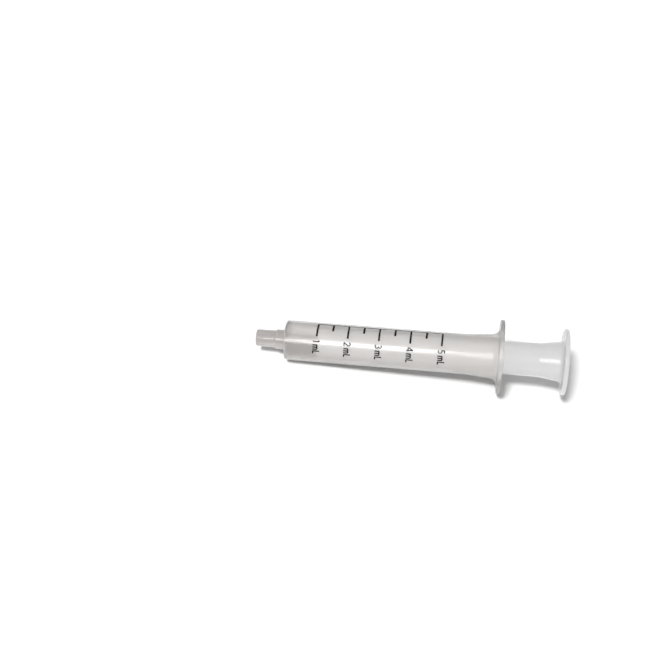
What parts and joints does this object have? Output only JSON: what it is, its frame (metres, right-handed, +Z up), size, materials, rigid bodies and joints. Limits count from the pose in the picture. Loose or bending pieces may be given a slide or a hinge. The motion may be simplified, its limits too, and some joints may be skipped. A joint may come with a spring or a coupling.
{
  "type": "oral syringe",
  "caption": "Needle-free oral syringe: clear graduated barrel with a tapered slip tip and round finger flange, and a hollow white plunger that slides in it.",
  "frame": {"origin": "on the surface the syringe lies on, under the middle of its bounding box", "axes": "+Z up; +X from the slip tip towards the thumb disc; the syringe's own axis rises 4.47 degrees towards +X, because it lies on the finger flange and on the barrel's front edge; the printed numerals are on the -Y side"},
  "size_m": [0.1022, 0.024, 0.0243],
  "materials": {
    "clear_plastic": "natural translucent polypropylene, glossy",
    "white_plastic": "white polyethylene, satin gloss",
    "ink": "black printing ink"
  },
  "bodies": {
    "barrel": {"barrel": "clear_plastic", "scale_lines": "ink", "scale_numerals": "ink"},
    "plunger": {"plunger": "white_plastic"}
  },
  "joints": [
    {"name": "plunger_slide", "type": "slide", "parent": "barrel", "child": "plunger", "axis": [0.997, 0, 0.0779], "range_m": [-0.0101, 0.0422]}
  ]
}
